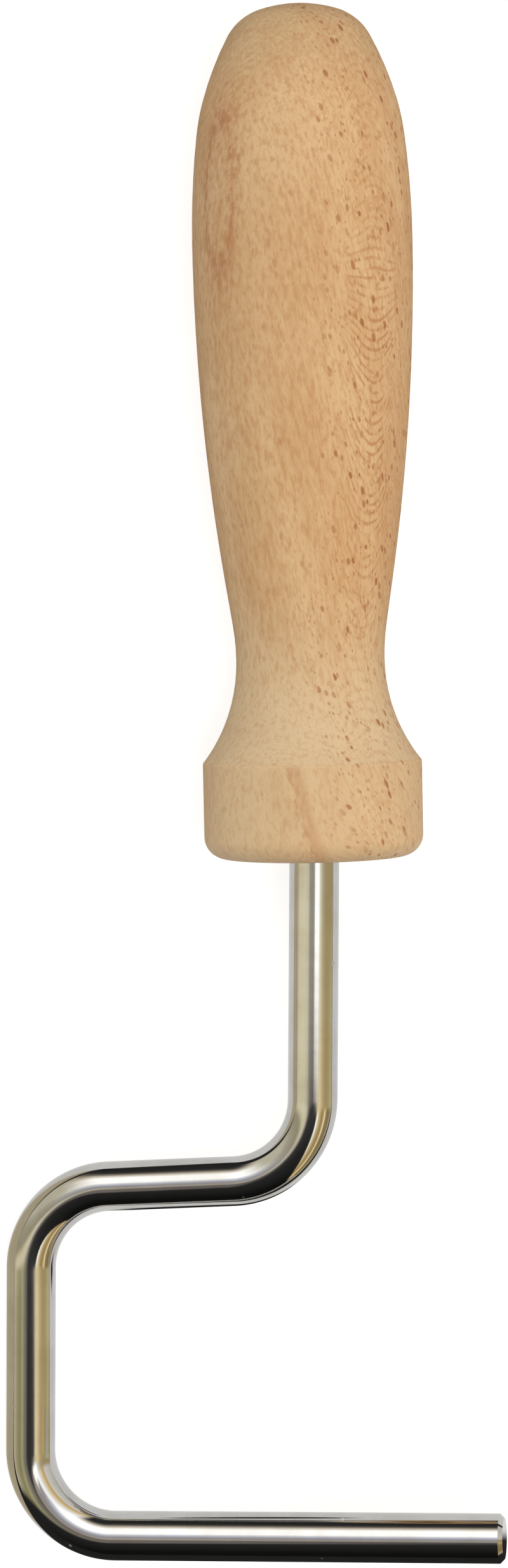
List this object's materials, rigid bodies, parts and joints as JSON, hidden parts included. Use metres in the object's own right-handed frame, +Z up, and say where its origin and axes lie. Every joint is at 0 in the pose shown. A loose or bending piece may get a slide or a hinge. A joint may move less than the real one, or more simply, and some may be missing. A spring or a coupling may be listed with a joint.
{
  "type": "string winder",
  "caption": "Cranked string winder: turned beech handle that spins on a bent bright steel rod, whose free bar crosses the handle's axis and ends in a plain chamfered end.",
  "frame": {"origin": "middle of the footprint, on the table that the winder lies on", "axes": "+Y along the handle from its mouth to its crown, +X from the crank's side leg towards the free bar's end, +Z up from the table"},
  "size_m": [0.0692, 0.2182, 0.0306],
  "materials": {
    "beech": "turned and sanded beech, bare or thinly waxed",
    "plated_steel": "bright nickel plate",
    "spring_steel": "oiled dark spring steel",
    "plain_steel": "plain turned steel",
    "brass": "plain turned brass"
  },
  "bodies": {
    "crank": {"crank_rod": "plated_steel", "retaining_clip": "spring_steel", "thrust_washer": "plain_steel"},
    "handle": {"handle_grip": "beech", "mouth_bush": "brass", "inner_bush": "brass", "thrust_disc": "plain_steel"}
  },
  "joints": [
    {"name": "handle_spin", "type": "hinge", "parent": "crank", "child": "handle", "pos_m": [0.00969, 0, 0.0153], "axis": [0, 1, 0], "continuous": true}
  ]
}
